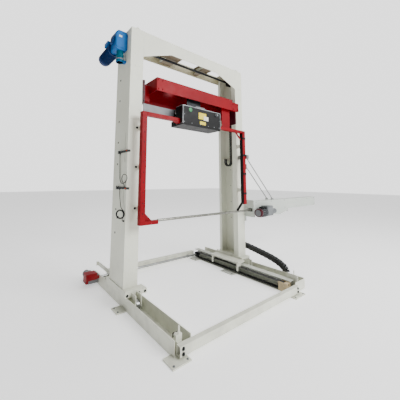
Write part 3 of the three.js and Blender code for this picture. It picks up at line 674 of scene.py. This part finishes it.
def column_hole_painted_shade():
    """Dark discs for the row of holes in the outer face of each column: painted shade for the shadowed
    insides of the holes.
    """
    y, radius, proud, depth = 262, 12, 1.6, 4
    levels = (2532, 2270, 2011, 1757, 1500, 1240, 980, 720)
    left = [((-proud, y, z), (depth, y, z), radius) for z in levels]
    right = [((PORTAL_WIDTH - depth, y, z), (PORTAL_WIDTH + proud, y, z), radius) for z in levels]
    rods("column_hole_painted_shade", left + right, "hole", "portal", 16)


def slot_painted_shade():
    """Dark plates behind the slots in the left column, a little longer than each slot: painted shade for the
    column's shadowed inside seen through the slots.
    """
    margin = 12
    slots = ((1672, 1846), (1515, 1595), (1066, 1217))
    items = [(9, 12, 50, 82, low - margin, high + margin) for low, high in slots]
    boxes("slot_painted_shade", items, "plastic", "portal", 0.8)


def beam_painted_shade_sheets():
    """Thin darker sheets under the crossbeam's ties, and under its top plate between the windows: painted
    shade for the inside of the beam.
    """
    y0, y1 = 9, 366
    tie_z, top_z = (2999.5, 3001.6), (3106, 3107.7)
    items = [(620, 800, y0, y1, *tie_z), (1232, 1342, y0, 363, *tie_z)]
    items += [(x0, x1, y0, y1, *top_z) for x0, x1 in ((562, 948), (1272, 1343), (1482, 1558))]
    items.append((400, 620, y0, 190, 3000, 3002.5))
    boxes("beam_painted_shade_sheets", items, "shade", "portal", 0.5)


column_hole_painted_shade()
slot_painted_shade()
beam_painted_shade_sheets()
# Painted shade on the inner face of the crossbeam's rear plate.
boxes("beam_inner_face_painted_shade", [(168, 1838, 364, 366.6, 2978, 3104)], "olive", "portal", 0.5)
COLUMN_SCREWS = [(60, z) for z in (330, 480, 2650, 2800)] + [(120, z) for z in (330, 2650)]
bolts(
    "column_front_screws",
    [(x, 0, z) for x, z in COLUMN_SCREWS] + [(PORTAL_WIDTH - x, 0, z) for x, z in COLUMN_SCREWS],
    TO_FRONT, "cream", "portal", SMALL_SCREW,
)
bolts(
    "strap_guide_screws",
    [(124, -150, z) for z in range(960, 2060, 110)] + [(1845, -150, z) for z in range(1060, 2060, 110)],
    TO_FRONT, "dark", "portal", TINY_SCREW,
)
boxes(
    "strap_guide_clips",
    [(1809, 1880, -152.5, -150.2, z - 14, z + 14) for z in (1130, 1420, 1700, 1960)],
    "black", "portal", 0.8,
)

# ---- lift drive details ----
SHAFT_Y, SHAFT_Z = 190, 2970
NECK_X, NECK_Y = -72, 150
MOTOR_X, MOTOR_Z = -95, 2905


def gearbox_cover():
    front = 96.5
    bm = bmesh.new()
    add_box(bm, -137, -8, front, 99.8, 2862, 3048, bevel=1.5)
    for z in (2870, 3040):
        for x in (-130, -72, -15):
            add_bolt(bm, (x, front, z), TO_FRONT, CAP_SCREW)
    piece("gearbox_cover", bm, "blue", "portal")


def gearbox_bearing_cap():
    """The stepped cap on the end of the lift shaft, with a ring of screws."""
    face_x, screw_x, screw_ring, screws = -152, -161, 48, 6
    bm = bmesh.new()
    profile = [(0, 58), (7, 58), (9, 55), (9, 40), (13, 40), (14, 37)]
    add_turned(bm, profile, (face_x, SHAFT_Y, SHAFT_Z), TO_LEFT)
    for k in range(screws):
        a = 2 * math.pi * k / screws
        place = (screw_x, SHAFT_Y + math.cos(a) * screw_ring, SHAFT_Z + math.sin(a) * screw_ring)
        add_bolt(bm, place, TO_LEFT, TINY_SCREW)
    piece("gearbox_bearing_cap", bm, "navy", "portal")


def lift_motor_fins():
    """Low cooling rings round the motor, evenly spaced."""
    first, spacing, count = 286, 21, 12
    ring = [(0, 76), (1.5, 82), (4.5, 82), (6, 76)]
    items = [(ring, (MOTOR_X, first + k * spacing, MOTOR_Z)) for k in range(count)]
    turned_solids("lift_motor_fins", items, TO_REAR, "navy", "portal", 40)


def lift_motor_terminal_box():
    top = 3015
    bm = bmesh.new()
    add_box(bm, -176, -50, 296, 404, 2958, top, bevel=5)
    for y in (306, 394):
        for x in (-166, -60):
            add_bolt(bm, (x, y, top), UPWARD, TINY_SCREW)
    piece("lift_motor_terminal_box", bm, "blue", "portal")


gearbox_cover()
gearbox_bearing_cap()
turned_solids(
    "gearbox_neck",
    [(
        [(0, 40), (6, 45), (24, 45), (28, 40.5), (60, 39.5), (66, 46), (92, 46), (98, 41), (140, 39.5)],
        (NECK_X, NECK_Y, 2700),
    )],
    UPWARD, "teal", "portal",
)
rods(
    "gearbox_neck_ring", [((NECK_X, NECK_Y, 2729), (NECK_X, NECK_Y, 2743), 47.5)],
    "grey", "portal", 32,
)
boxes("gearbox_plate", [(-112, -74, 95.2, 96.4, 2992, 3016)], "white", "portal", 0.4)
lift_motor_fins()
turned_solids(
    "lift_motor_fan_cowl",
    [([(0, 81.5), (46, 81.5), (54, 78), (58, 66), (58, 30), (56, 28)], (MOTOR_X, 552, MOTOR_Z))],
    TO_REAR, "navy", "portal", 40,
)
lift_motor_terminal_box()
rods(
    "lift_motor_gland",
    [((-120, 404, 2986), (-120, 424, 2986), 11), ((-120, 424, 2986), (-120, 432, 2986), 8)],
    "plastic", "portal", 16,
)

# ---- strapping head details ----
HEAD_FRONT = -200
LID_Z = 2262


def head_edge_strips():
    """Bright strips round the edges of the head's cover."""
    proud = HEAD_FRONT - 2.4
    boxes(
        "head_edge_strips",
        [
            (612.5, 624, proud, -54, 2009, 2018), (612.5, 622, proud, HEAD_FRONT + 14, 2018, 2239.5),
            (1264, 1274.5, proud, HEAD_FRONT + 14, 2009, 2239.5),
            (622, 1264, proud, HEAD_FRONT + 10, 2230, 2239.8),
            (612.5, 621, HEAD_FRONT + 10, -58, 2232, 2240.5),
        ],
        "alloy", "carriage", 1.2,
    )


def label(name, material, x0, x1, z0, z1, front=1.4, back=0.1):
    """A thin blank label on the front of the head."""
    box = (x0, x1, HEAD_FRONT - front, HEAD_FRONT - back, z0, z1)
    boxes(name, [box], material, "carriage", 0.4)


def head_valve_block():
    bm = bmesh.new()
    add_box(bm, 862, 1060, -150, -54, 2226.5, LID_Z, bevel=4)
    add_box(bm, 880, 1042, -136, -64, LID_Z, 2286, bevel=3)
    for x in (872, 1050):
        add_bolt(bm, (x, -142, LID_Z), UPWARD, BLOCK_SCREW)
    piece("head_valve_block", bm, "grey", "carriage")


def head_fittings():
    """Four plugs on top of the head, each with a short stub that leans back."""
    bm = bmesh.new()
    for x in (660, 700, 742, 784):
        top = (x, -120, LID_Z)
        add_rod(bm, (x, -120, 2238), top, 9, 16)
        add_rod(bm, top, (x, -92, 2274), 5, 12)
    piece("head_fittings", bm, "plastic", "carriage")


head_edge_strips()
turned_solids(
    "round_sticker", [([(0, 27), (1.2, 27), (1.6, 26)], (738, HEAD_FRONT - 0.1, 2196))],
    TO_FRONT, "green", "carriage", 40,
)
label("label_yellow", "yellow", 872, 1004, 2100, 2184)
label("label_white", "white", 960, 1040, 2092, 2146, front=2.0, back=0.4)
label("label_small", "yellow", 893, 995, 2030, 2072)
turned_solids(
    "cover_latch_knob",
    [(
        [(0, 15), (3, 15), (4, 10), (14, 9), (20, 15), (28, 15), (31, 11)],
        (1190, HEAD_FRONT - 0.2, 2196),
    )],
    TO_FRONT, "alloy", "carriage", 28,
)
bolts(
    "cover_screws",
    [(x, HEAD_FRONT, z) for x in (640, 1248) for z in (2030, 2125)]
    + [(x, HEAD_FRONT, 2026) for x in (760, 900, 1040, 1150)],
    TO_FRONT, "alloy", "carriage", SMALL_SCREW,
)
head_valve_block()
head_fittings()

# ---- carriage details ----
bolts(
    "carriage_end_bolts",
    [(x, -60, z) for x in (1722, 1826) for z in (2424, 2506)]
    + [(x, -60, z) for x in (350, 410) for z in (2420, 2535)],
    TO_FRONT, "red", "carriage", END_BOLT,
)
bolts(
    "guide_shoe_bolts",
    [(177, -10.5, z) for z in (2240, 2350, 2470)] + [(1829, -10.5, z) for z in (2240, 2340)],
    TO_FRONT, "dark", "carriage", SHOE_BOLT,
)


def carriage_top_fittings():
    """A strip with a waisted stud near its front end, on each half of the carriage."""
    top = 2566
    stud = [(0, 13), (12, 13), (16, 9), (30, 9), (34, 12), (40, 12)]
    bm = bmesh.new()
    for x in (650, 1590):
        add_box(bm, x - 8, x + 8, 20, 140, 2560.5, top, bevel=1)
        add_turned(bm, stud, (x, 46, top), UPWARD, 20)
    piece("carriage_top_fittings", bm, "red", "carriage")


carriage_top_fittings()

# ---- lance drive details ----
LANCE_Y, LANCE_Z = -240, 840


def lance_gearbox_cover():
    front = -276
    bm = bmesh.new()
    add_box(bm, 2213, 2357, front, -270.5, 793, 927, bevel=2)
    for x in (2222, 2348):
        for z in (802, 918):
            add_bolt(bm, (x, front, z), TO_FRONT, CAP_SCREW)
    piece("lance_gearbox_cover", bm, "alloy", "portal")


def lance_motor_rings():
    """The motor's flange, then its low cooling rings."""
    first, spacing, count = 2074, 22, 5
    flange = [(0, 62.5), (6, 62.5), (8, 58)]
    ring = [(0, 56), (2, 64), (6, 64), (8, 56)]
    items = [(flange, (2188, LANCE_Y, LANCE_Z))]
    items += [(ring, (first + k * spacing, LANCE_Y, LANCE_Z)) for k in range(count)]
    turned_solids("lance_motor_rings", items, TO_RIGHT, "dark", "portal")


def lance_motor_terminal_box():
    front = -281
    bm = bmesh.new()
    add_box(bm, 2094, 2180, front, -200, 897, 927, bevel=3)
    add_rod(bm, (2137, front, 912), (2137, front - 16, 912), 8, 16)
    piece("lance_motor_terminal_box", bm, "dark", "portal")


lance_gearbox_cover()
lance_motor_rings()
lance_motor_terminal_box()
turned_solids(
    "lance_fan_grille",
    [(
        [(0, 49), (2, 49), (3, 46), (3, 38), (1.6, 37), (1.6, 28), (3, 27), (3, 10)],
        (2017.8, LANCE_Y, LANCE_Z),
    )],
    TO_LEFT, "grey", "portal",
)
bolts(
    "lance_beam_bolts",
    [(x, -165, z) for x in (2080, 2500, 2900, 3300, 3700, 4000) for z in (868, 990)],
    TO_FRONT, "alloy", "portal", SMALL_SCREW,
)
boxes(
    "lance_beam_duct",
    [(2690, 3030, -148, -80, 796, 822)] + [(x, x + 20, -140, -90, 820, 850) for x in (2712, 2988)],
    "grey", "portal", 2,
)
boxes("lance_beam_end_cap", [(4036, 4042, -160, -40, 850, 1005)], "pale", "portal", 2)
boxes("lance_rod_bushing", [(2035, 2053, -146, -94, 851, 899)], "plastic", "portal", 2)

# ---- sensors on the left column ----
SENSOR_X, SENSOR_Y, SENSOR_LEVELS = -36, -48, (1632, 1226)
BARREL = [
    (0, 11), (2, 13), (9, 13), (11, 11), (22, 10.5), (24, 12.6), (31, 12.6), (33, 10.5), (40, 10.5),
]
turned_solids(
    "sensor_barrels", [(BARREL, (SENSOR_X, SENSOR_Y, z)) for z in SENSOR_LEVELS],
    TO_RIGHT, "plastic", "portal", 24,
)
rods(
    "sensor_lenses",
    [((SENSOR_X - 2.5, SENSOR_Y, z), (SENSOR_X, SENSOR_Y, z), 8.4) for z in SENSOR_LEVELS],
    "amber", "portal", 24,
)
bolts(
    "sensor_arm_screws", [(-26, y, z) for y, z in zip((190, 210), SENSOR_LEVELS)],
    TO_LEFT, "steel", "portal", CAP_SCREW,
)


def cable_gland_nuts():
    """The gland in the column, then those under and over the sensor arms."""
    bm = bmesh.new()
    add_turned(bm, [(0, 10.5), (5, 10.5), (7, 8.6), (9.6, 8.6)], (-0.2, 35, 876), TO_LEFT, 20)
    nut = [(0, 9), (6, 9), (7.2, 8.4)]
    arm_glands = (((-14, 168, 1622), DOWNWARD), ((-14, 28, 1236), UPWARD), ((-14, 140, 1216), DOWNWARD))
    for place, direction in arm_glands:
        add_turned(bm, nut, place, direction, 20)
    piece("cable_gland_nuts", bm, "plastic", "portal")


cable_gland_nuts()

# ---- floor frame details ----
ANCHORS = [
    (-36, -944), (90, -944), (1658, -944), (1828, -944), (2040, 870), (2040, 970), (-66, -40), (-66, 56),
    (1622, -48), (1622, 120), (1622, 722), (1622, 838), (-42, 870), (-42, 970),
]
FOOT_PLATE_TOP = 12
bolts("anchor_bolts", [(x, y, FOOT_PLATE_TOP) for x, y in ANCHORS], UPWARD, "alloy", "base", ANCHOR_BOLT)
boxes("left_track_bar", [(82, 114, -790, 880, 8.2, 9.2)], "steel", "base", 0.3)
boxes("right_track_bar", [(1892, 1924, -730, 880, 8.2, 9.2)], "steel", "base", 0.3)
boxes(
    "front_stop_pads",
    [(54, 102, -800.8, -798, 98, 134), (1904, 1952, -745.8, -743, 98, 134)], "rubber", "base", 1,
)
bolts(
    "tension_block_bolts", [(1729, -830, z) for z in (48, 92)],
    TO_FRONT, "dark", "base", CAP_SCREW,
)
bolts(
    "guard_screws", [(-150, y, z) for y in (748, 832) for z in (60, 132)],
    TO_LEFT, "dark", "base", SMALL_SCREW,
)


# ---- floor, background and light ----
def add_floor():
    """A pale floor that gives a little light of its own, so that it stays pale in the shade."""
    bm = bmesh.new()
    bmesh.ops.create_grid(bm, x_segments=1, y_segments=1, size=30)
    mesh = bpy.data.meshes.new("floor")
    bm.to_mesh(mesh)
    bm.free()
    floor = bpy.data.objects.new("floor", mesh)
    SCENE.collection.objects.link(floor)
    n = Nodes("floor")
    shade = n.mix(n.noise(0.6, 3), (0.96, 0.96, 0.96, 1), (0.94, 0.94, 0.94, 1))
    n.link(shade, n.shader.inputs["Base Color"])
    n.shader.inputs["Roughness"].default_value = 0.7
    n.shader.inputs["Emission Color"].default_value = (1, 1, 1, 1)
    n.shader.inputs["Emission Strength"].default_value = 0.6
    floor.data.materials.append(n.material)


BACKDROP_STRENGTH = 2.1  # what the camera sees
DARK_SIDE, BRIGHT_SIDE = 0.2, 1.2  # what lights the machine from its left and from its right
SIDE_REACH = 0.7


def add_room():
    """White all round, brighter on the machine's right than on its left."""
    world = bpy.data.worlds.new("studio")
    SCENE.world = world
    world.use_nodes = True
    tree = world.node_tree
    backdrop = tree.nodes["Background"]
    backdrop.inputs["Color"].default_value = (1, 1, 1, 1)
    direction = tree.nodes.new("ShaderNodeTexCoord").outputs["Generated"]
    separate = tree.nodes.new("ShaderNodeSeparateXYZ")
    side = tree.nodes.new("ShaderNodeMapRange")
    keys = ("From Min", "From Max", "To Min", "To Max")
    for key, number in zip(keys, (-SIDE_REACH, SIDE_REACH, DARK_SIDE, BRIGHT_SIDE)):
        side.inputs[key].default_value = number
    seen = tree.nodes.new("ShaderNodeLightPath").outputs["Is Camera Ray"]
    strength = tree.nodes.new("ShaderNodeMix")
    strength.inputs["B"].default_value = BACKDROP_STRENGTH
    for a, b in (
        (direction, separate.inputs[0]), (separate.outputs["X"], side.inputs["Value"]),
        (side.outputs["Result"], strength.inputs["A"]), (seen, strength.inputs["Factor"]),
        (strength.outputs["Result"], backdrop.inputs["Strength"]),
    ):
        tree.links.new(a, b)


def area_light(name, place, target, size, power):
    """A rectangular lamp that points at its target. Metres and watts."""
    light = bpy.data.objects.new(name, bpy.data.lights.new(name, "AREA"))
    light.data.shape = "RECTANGLE"
    light.data.size, light.data.size_y = size
    light.data.energy = power
    light.location = place
    light.rotation_euler = (Vector(target) - Vector(place)).to_track_quat("-Z", "Y").to_euler()
    SCENE.collection.objects.link(light)


add_floor()
add_room()
area_light("key", (1.5, -6.5, 4.6), (0, 0, 1.4), (4.0, 3.0), 560)
area_light("top", (0.0, 0.5, 7.5), (0, 0, 0), (5, 5), 200)
